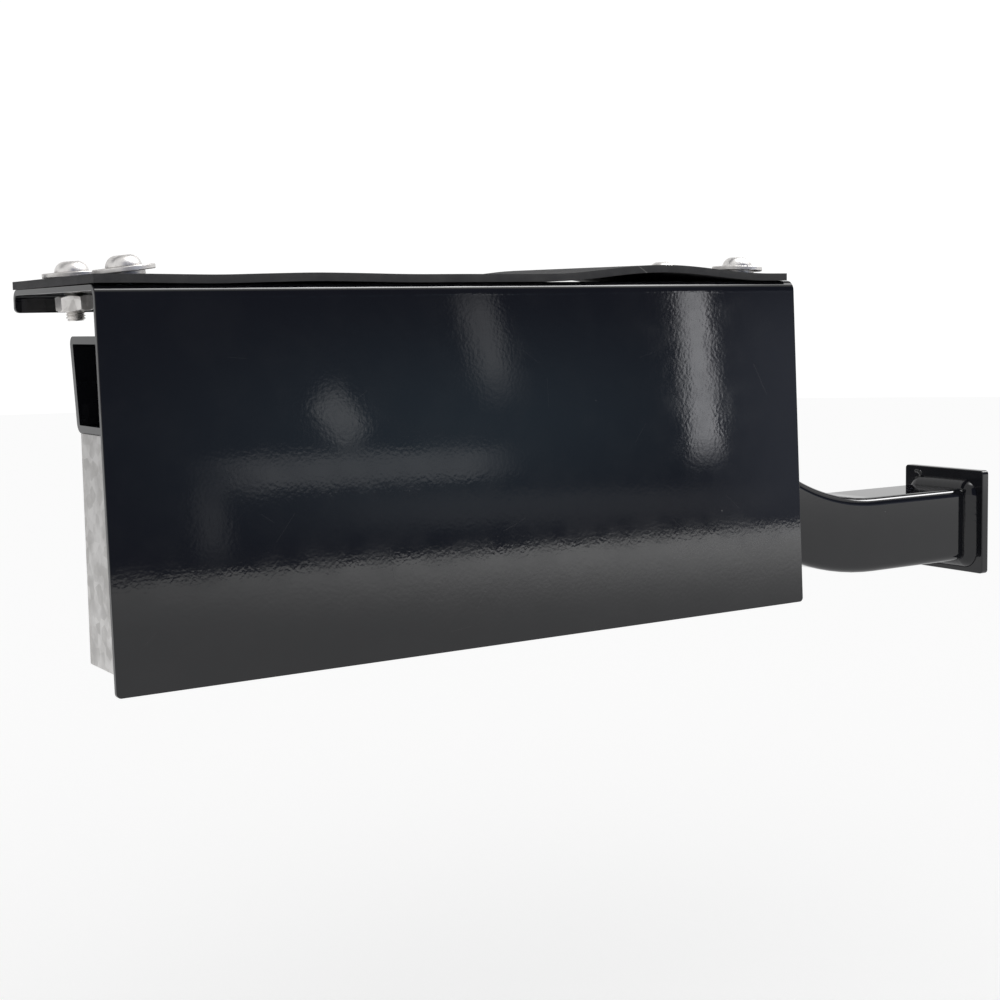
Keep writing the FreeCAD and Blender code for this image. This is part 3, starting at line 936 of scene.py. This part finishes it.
@dataclass
class PlateWeld(Assembly):
    """Rippled fillet bead round the tube on the end plate, with the curl where it was finished."""

    tube: float = 50.0 * MM
    corner: float = 5.0 * MM
    leg: float = 6.0 * MM
    bulge: float = 0.7 * MM
    lag: float = 1.4 * MM
    sink: float = 0.4 * MM
    pitch: float = 4.2 * MM
    depth: float = 0.006
    step: float = 0.55 * MM

    def path(self) -> list[tuple[Vector, Vector, float]]:
        """Points round the tube's section, the way out at each, and the distance run.

        Returns:
            Point, outward direction and distance, in the YZ plane about the tube's axis.
        """
        half, flat = self.tube / 2.0, self.tube / 2.0 - self.corner
        found: list[tuple[Vector, Vector, float]] = []
        run = 0.0
        straight = max(1, round(2.0 * flat / self.step))
        bend = max(4, round(0.5 * math.pi * (self.corner + self.leg / 2.0) / self.step))
        for side in range(4):
            turn = Matrix.Rotation(0.5 * math.pi * side, 3, "X")
            for number in range(straight):
                across = -flat + 2.0 * flat * number / straight
                found.append((turn @ Vector((0.0, half, across)), turn @ Vector((0.0, 1.0, 0.0)), run))
                run += 2.0 * flat / straight
            for number in range(bend):
                angle = 0.5 * math.pi * number / bend
                out = Vector((0.0, math.cos(angle), math.sin(angle)))
                found.append((turn @ (Vector((0.0, flat, flat)) + out * self.corner), turn @ out, run))
                run += self.step
        return found

    def build(self, material: bpy.types.Material) -> bpy.types.Object:
        """Build the bead.

        Args:
            material: Its finish.

        Returns:
            The piece.
        """
        low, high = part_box("end_plate_weld")
        centre = Vector((high.x, (low.y + high.y) / 2.0, (low.z + high.z) / 2.0))
        frames = []
        for point, out, run in self.path():
            size = ripple(run, self.pitch, self.depth, 3.7)
            along = Vector((-1.0, 0.0, 0.0)).cross(out)
            turn = Matrix((out, Vector((-1.0, 0.0, 0.0)), -along)).transposed().to_4x4()
            frames.append(Matrix.Translation(centre + point) @ turn @ Matrix.Diagonal((size, size, 1.0, 1.0)))
        bm = bmesh.new()
        sweep(bm, bead_section(self.leg, self.bulge, self.lag, self.sink), frames, True)
        self.add_curl(bm, centre)
        return self.finish_piece(bm, "plate_weld_bead", material, Slot.WELD, ["end_plate_weld"], 60.0)

    def add_curl(self, bm: BMesh, centre: Vector) -> None:
        """Add the curled end of the bead, on the plate above the tube's rear corner.

        Args:
            bm: Mesh of the bead.
            centre: Where the tube's axis meets the plate.
        """
        frames = []
        count = 30
        for number in range(count + 1):
            share = number / count
            turn = 0.35 * math.pi + 1.35 * math.pi * share
            reach = (4.4 - 1.6 * share) * MM
            place = centre + Vector((0.0, 24.5 * MM + reach * math.cos(turn),
                                     31.0 * MM + 0.72 * reach * math.sin(turn)))
            size = (1.0 - 0.3 * share) * (1.0 + 0.05 * math.sin(1.1 * number))
            size *= math.sin(math.pi * (0.08 + 0.84 * share)) ** 0.4
            along = Vector((0.0, -math.sin(turn), 0.72 * math.cos(turn))).normalized()
            up = Vector((-1.0, 0.0, 0.0))
            frame_turn = Matrix((along.cross(up), up, -along)).transposed().to_4x4()
            frames.append(Matrix.Translation(place) @ frame_turn @ Matrix.Diagonal((size, size, 1.0, 1.0)))
        around = 12
        section = []
        for number in range(around):
            angle = 2.0 * math.pi * number / around
            section.append(Vector((1.9 * MM * math.cos(angle), max(1.2 * MM * math.sin(angle), -0.3 * MM),
                                   0.0)))
        sweep(bm, section, frames, False)


@dataclass
class SaddleWelds(Assembly):
    """Rippled fillet beads along the feet of both saddles."""

    leg: float = 3.0 * MM
    bulge: float = 0.45 * MM
    lag: float = 0.6 * MM
    sink: float = 0.25 * MM
    pitch: float = 2.2 * MM
    depth: float = 0.10
    step: float = 0.5 * MM
    inset: float = 4.0 * MM

    def build(self, material: bpy.types.Material) -> bpy.types.Object:
        """Build the four beads as one piece.

        Args:
            material: Their finish.

        Returns:
            The piece.
        """
        bm = bmesh.new()
        for number, saddle in enumerate(("hood_saddle_left", "hood_saddle_right")):
            low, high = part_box(saddle)
            for side in (-1.0, 1.0):
                foot = Vector((low.x + self.inset, low.y if side < 0.0 else high.y, low.z))
                self.add_bead(bm, foot, side, high.x - low.x - 2.0 * self.inset, number + side)
        return self.finish_piece(bm, "saddle_weld_beads", material, Slot.WELD, ["saddle_welds"], 60.0)

    def add_bead(self, bm: BMesh, foot: Vector, side: float, length: float, seed: float) -> None:
        """Add one bead.

        Args:
            bm: Mesh that it is added to.
            foot: Where it starts.
            side: -1 in front of the saddle, 1 behind it.
            length: How long it is.
            seed: Where in the noise its ripples are read.
        """
        frames = []
        for number in range(round(length / self.step) + 1):
            run = number * self.step
            near = min(run, length - run)
            end = math.sqrt(max(0.04, 1.0 - max(0.0, 1.0 - near / self.leg) ** 2))
            size = end * ripple(run, self.pitch, self.depth, seed)
            turn = Matrix((Vector((0.0, side, 0.0)), Vector((0.0, 0.0, 1.0)),
                           Vector((side, 0.0, 0.0)))).transposed()
            place = foot + Vector((run, 0.0, 0.0))
            frames.append(Matrix.Translation(place) @ turn.to_4x4() @ Matrix.Diagonal((size, size, 1.0, 1.0)))
        sweep(bm, bead_section(self.leg, self.bulge, self.lag, self.sink), frames, False)


@dataclass
class TubeSeam(Assembly):
    """Rough flash of the tube's own weld seam, along the inside of its rear wall."""

    wall: float = 3.0 * MM
    half_width: float = 3.4 * MM
    height: float = 1.7 * MM
    length: float = 245.0 * MM
    step: float = 0.8 * MM

    def build(self, material: bpy.types.Material) -> bpy.types.Object:
        """Build the seam.

        Args:
            material: Its finish.

        Returns:
            The piece.
        """
        low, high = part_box("arm_tube")
        axis_z = high.z - 25.0 * MM
        start = Vector((low.x + 1.6 * MM, high.y - self.wall, axis_z))
        frames = []
        for number in range(round(self.length / self.step) + 1):
            run = number * self.step
            sway = 1.6 * MM * noise.noise(Vector((run * 90.0, 1.0, 0.0)))
            wide = 1.0 + 0.7 * noise.noise(Vector((run * 230.0, 4.0, 0.0)))
            tall = 1.0 + 1.1 * noise.noise(Vector((run * 330.0, 7.0, 0.0)))
            place = start + Vector((run, 0.0, sway))
            turn = Matrix((Vector((0.0, 0.0, 1.0)), Vector((0.0, -1.0, 0.0)),
                           Vector((1.0, 0.0, 0.0)))).transposed()
            frames.append(Matrix.Translation(place) @ turn.to_4x4() @ Matrix.Diagonal((wide, tall, 1.0, 1.0)))
        section = [Vector((-self.half_width, -0.3 * MM, 0.0)), Vector((self.half_width, -0.3 * MM, 0.0)),
                   Vector((0.8 * self.half_width, 0.35 * self.height, 0.0)),
                   Vector((0.35 * self.half_width, self.height, 0.0)),
                   Vector((-0.2 * self.half_width, 0.8 * self.height, 0.0)),
                   Vector((-0.75 * self.half_width, 0.45 * self.height, 0.0))]
        bm = bmesh.new()
        sweep(bm, section, frames, False)
        return self.finish_piece(bm, "tube_inner_seam", material, Slot.BLACK, (), 28.0)


@dataclass
class Finishes:
    """Every finish of the part, and the CAD nodes that wear it as they are."""

    effects: Effects
    brake_drop: float = 6.3 * MM

    def build(self) -> dict[Slot, bpy.types.Material]:
        """Build one material for each slot.

        Returns:
            The materials.
        """
        weld = GlossCoat("gloss_black_weld", roughness=0.05, cell=2.6 * MM, dimple=1.3e-5, swell=0.0,
                         scratch=0.0)
        stainless = BareMetal()
        zinc = BareMetal("plain_zinc", (0.66, 0.65, 0.64, 1.0), (0.50, 0.49, 0.48, 1.0), 0.34, 0.5,
                         Grain.ALONG_Z, 0.5 * MM, 1.5e-5, 14.0 * MM)
        blackened = BareMetal("blackened_steel", (0.030, 0.030, 0.032, 1.0), (0.018, 0.018, 0.020, 1.0),
                              0.3, 0.5)
        return {
            Slot.BLACK: GlossCoat().build(self.effects),
            Slot.WELD: weld.build(self.effects),
            Slot.RUBBER: RubberFinish().build(self.effects),
            Slot.STAINLESS: stainless.build(self.effects),
            Slot.ZINC: zinc.build(self.effects),
            Slot.BLACKENED: blackened.build(self.effects),
        }

    def dress_nodes(self, materials: dict[Slot, bpy.types.Material]) -> None:
        """Give every CAD node the material of its slot in the record.

        Args:
            materials: Material for each slot.
        """
        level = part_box("hood_shell")[1].z - self.brake_drop
        hood_coat = GlossCoat("gloss_black_hood", brake_level=level).build(self.effects)
        for row in frame["record"]["subparts"]:
            node, slot = frame["nodes"][row["node"]], Slot(row["material_slot"])
            for holder in node.material_slots:
                holder.material = hood_coat if row["node"] == "hood_shell" else materials[slot]
            LOG.info("%s: dressed in %s", row["node"], slot.value)


@dataclass(frozen=True)
class Card:
    """Card or softbox of the studio, which shows only in reflections."""

    name: str
    place: tuple[float, float, float]
    size: tuple[float, float]
    colour: tuple[float, float, float]
    soft: float = 0.0
    roll: float = 0.0
    facing: tuple[float, float, float] = (0.0, 1.0, 0.0)
    opaque: bool = False

    def material(self) -> bpy.types.Material:
        """Build the card's light: even, or fading to its edges over a share of its half size.

        Returns:
            The material.
        """
        made = bpy.data.materials.new(self.name)
        made.use_nodes = True
        made.node_tree.nodes.clear()
        wire = Wiring(made.node_tree)
        strength: Feed = 1.0
        if self.soft > 0.0:
            parts = wire.add("SeparateXYZ", {0: wire.add("TexCoord").outputs["UV"]}).outputs
            for part in (parts[0], parts[1]):
                off = wire.sums("ABSOLUTE", wire.sums("SUBTRACT", wire.sums("MULTIPLY", part, 2.0), 1.0))
                fade = wire.span(wire.sums("SUBTRACT", 1.0, off), 0.0, self.soft)
                strength = wire.sums("MULTIPLY", strength, fade)
        light = wire.add("Emission", {"Color": (*self.colour, 1.0), "Strength": strength}).outputs[0]
        if not self.opaque:
            clear = wire.add("BsdfTransparent").outputs[0]
            light = wire.add("AddShader", {0: light, 1: clear}).outputs[0]
        wire.add("OutputMaterial", {"Surface": light})
        return made

    def build(self) -> bpy.types.Object:
        """Build the card.

        Returns:
            The card.
        """
        bm = bmesh.new()
        bm.loops.layers.uv.new("card")
        bmesh.ops.create_grid(bm, x_segments=1, y_segments=1, size=0.5, calc_uvs=True)
        bmesh.ops.scale(bm, vec=(self.size[0], self.size[1], 1.0), verts=bm.verts)
        bmesh.ops.rotate(bm, cent=(0, 0, 0), matrix=Matrix.Rotation(math.radians(self.roll), 3, "Z"),
                         verts=bm.verts)
        turn = Vector(self.facing).to_track_quat("Z", "Y").to_matrix()
        bmesh.ops.rotate(bm, cent=(0, 0, 0), matrix=turn, verts=bm.verts)
        bmesh.ops.translate(bm, vec=self.place, verts=bm.verts)
        mesh = bpy.data.meshes.new(self.name)
        bm.to_mesh(mesh)
        bm.free()
        mesh.materials.append(self.material())
        made = bpy.data.objects.new(self.name, mesh)
        bpy.context.collection.objects.link(made)
        for ray in ("camera", "diffuse", "shadow", "transmission", "volume_scatter"):
            setattr(made, "visible_" + ray, False)
        return made


@dataclass
class Studio:
    """Camera, pale floor and surround, dark flags and soft lights."""

    lens: float = 60.54
    sensor: float = 36.0
    shift_y: float = -0.020
    yaw: float = 32.71
    pitch: float = 5.55
    roll: float = 1.05
    eye: tuple[float, float, float] = (-0.9121, -0.8291, 0.1483)
    floor_z: float = -0.30
    floor_radius: float = 8.0
    floor_glow: float = 0.30
    # Centre, reach and strength of a painted pool of light: extra glow on the floor far in front.
    patch: tuple[float, float] = (2.6, -3.9)
    patch_reach: float = 3.4
    patch_glow: float = 1.7
    seen: float = 1.05
    lit: float = 0.80
    cards: tuple[Card, ...] = (
        Card("dark_flag", (1.5, -3.40, 1.93), (7.4, 4.34), (0.09, 0.10, 0.16), roll=1.0, opaque=True),
        Card("dark_ceiling", (1.0, 0.85, 2.00), (9.0, 0.9), (0.05, 0.05, 0.06), facing=(0.0, 0.0, -1.0),
             opaque=True),
        Card("rear_flag", (-2.20, 2.04, -0.20), (1.3, 1.6), (0.12, 0.12, 0.13), facing=(0.73, -0.67, 0.0),
             opaque=True),
        Card("blue_wall", (1.55, -3.34, 0.12), (2.8, 0.85), (0.20, 0.31, 0.38), soft=1.0),
        Card("right_wall", (3.0, -3.33, 0.10), (1.5, 1.2), (0.34, 0.37, 0.44), soft=0.7),
        Card("low_band", (1.85, -3.32, -0.13), (2.0, 0.14), (0.28, 0.28, 0.28), soft=0.7, roll=3.0),
        Card("tall_strip", (2.37, -3.30, 0.28), (0.13, 0.68), (4.2, 4.2, 4.3), soft=0.35, roll=-2.5),
        Card("narrow_strip", (1.61, -3.30, 0.36), (0.18, 0.46), (0.95, 0.95, 0.95), soft=0.8, roll=-13.5),
        Card("small_box", (1.14, -3.30, 0.16), (0.15, 0.22), (1.3, 1.3, 1.3), soft=0.7, roll=-40.0),
        Card("long_bar", (1.21, -3.30, 0.02), (1.08, 0.11), (0.85, 0.85, 0.85), soft=0.5, roll=1.2),
        Card("bar_leg", (0.76, -3.30, -0.09), (0.13, 0.26), (0.36, 0.36, 0.36), soft=0.8, roll=0.0),
        Card("overhead_box", (0.50, -0.35, 1.77), (2.1, 1.3), (17.0, 17.0, 17.0), soft=1.0,
             facing=(0.0, 0.0, -1.0)),
        Card("side_box", (1.75, -0.20, 1.77), (1.1, 1.2), (17.0, 17.0, 17.0), soft=0.9,
             facing=(0.0, 0.0, -1.0)),
    )

    def camera(self) -> None:
        """Place the camera."""
        yaw, pitch, roll = (math.radians(angle) for angle in (self.yaw, self.pitch, self.roll))
        ahead = Vector((math.sin(yaw) * math.cos(pitch), math.cos(yaw) * math.cos(pitch), -math.sin(pitch)))
        right = Vector((math.cos(yaw), -math.sin(yaw), 0.0))
        down = ahead.cross(right)
        across = right * math.cos(roll) + down * math.sin(roll)
        lower = down * math.cos(roll) - right * math.sin(roll)
        turn = Matrix((across, -lower, -ahead)).transposed().to_4x4()
        lens = bpy.data.cameras.new("studio_camera")
        lens.lens = self.lens
        lens.sensor_width = self.sensor
        lens.shift_y = self.shift_y
        lens.clip_start, lens.clip_end = 0.02, 60.0
        camera = bpy.data.objects.new("studio_camera", lens)
        camera.matrix_world = Matrix.Translation(self.eye) @ turn
        bpy.context.collection.objects.link(camera)
        bpy.context.scene.camera = camera

    def world(self) -> None:
        """Light the scene evenly from all sides with a pale surround."""
        made = bpy.data.worlds.new("pale_surround")
        made.use_nodes = True
        wire = Wiring(made.node_tree)
        direct = wire.add("LightPath").outputs["Is Camera Ray"]
        strength = wire.sums("ADD", wire.sums("MULTIPLY", direct, self.seen - self.lit), self.lit)
        surround = made.node_tree.nodes["Background"]
        surround.inputs["Color"].default_value = (1.0, 1.0, 1.0, 1.0)
        made.node_tree.links.new(strength, surround.inputs["Strength"])
        bpy.context.scene.world = made
        bpy.context.scene.view_settings.view_transform = "Standard"

    def floor(self) -> None:
        """Build the pale floor, glowing evenly, with a painted pool of light far in front."""
        low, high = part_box("hood_shell")
        bm = bmesh.new()
        bmesh.ops.create_circle(bm, cap_ends=True, segments=128, radius=self.floor_radius)
        bmesh.ops.translate(bm, vec=((low.x + high.x) / 2.0, low.y, self.floor_z), verts=bm.verts)
        mesh = bpy.data.meshes.new("pale_floor")
        bm.to_mesh(mesh)
        bm.free()
        material = bpy.data.materials.new("pale_floor")
        material.use_nodes = True
        shader = material.node_tree.nodes["Principled BSDF"]
        shader.inputs["Base Color"].default_value = (0.83, 0.83, 0.83, 1.0)
        shader.inputs["Roughness"].default_value = 0.9
        shader.inputs["Specular IOR Level"].default_value = 0.0
        shader.inputs["Emission Color"].default_value = (1.0, 1.0, 1.0, 1.0)
        wire = Wiring(material.node_tree)
        # Painted pool of light: the floor's glow rises towards the patch centre.
        where = wire.add("TexCoord").outputs["Object"]
        off = wire.add("VectorMath", {0: where, 1: (*self.patch, self.floor_z)},
                       operation="SUBTRACT").outputs[0]
        away = wire.add("VectorMath", {0: off}, operation="LENGTH").outputs["Value"]
        near = wire.sums("POWER", wire.span(away, 0.0, self.patch_reach, 1.0, 0.0), 1.6)
        glow = wire.span(near, 0.0, 1.0, self.floor_glow, self.floor_glow + self.patch_glow)
        material.node_tree.links.new(glow, shader.inputs["Emission Strength"])
        mesh.materials.append(material)
        floor = bpy.data.objects.new("pale_floor", mesh)
        bpy.context.collection.objects.link(floor)

    def build(self) -> None:
        """Build the camera, surround, floor and cards."""
        self.camera()
        self.world()
        self.floor()
        for card in self.cards:
            card.build()
            LOG.info("%s: placed", card.name)


def main() -> None:
    """Build the studio and every sub-assembly in order."""
    logging.basicConfig(level=logging.INFO, format="%(name)s: %(message)s")
    Studio().build()
    finishes = Finishes(Effects.build())
    materials = finishes.build()
    finishes.dress_nodes(materials)
    seats = ScrewSeats()
    RubberSheet(seats).build(materials[Slot.RUBBER])
    ButtonScrews(seats).build(materials[Slot.STAINLESS])
    PlateWeld().build(materials[Slot.WELD])
    SaddleWelds().build(materials[Slot.WELD])
    TubeSeam().build(materials[Slot.BLACK])


if __name__ == "__main__":
    main()
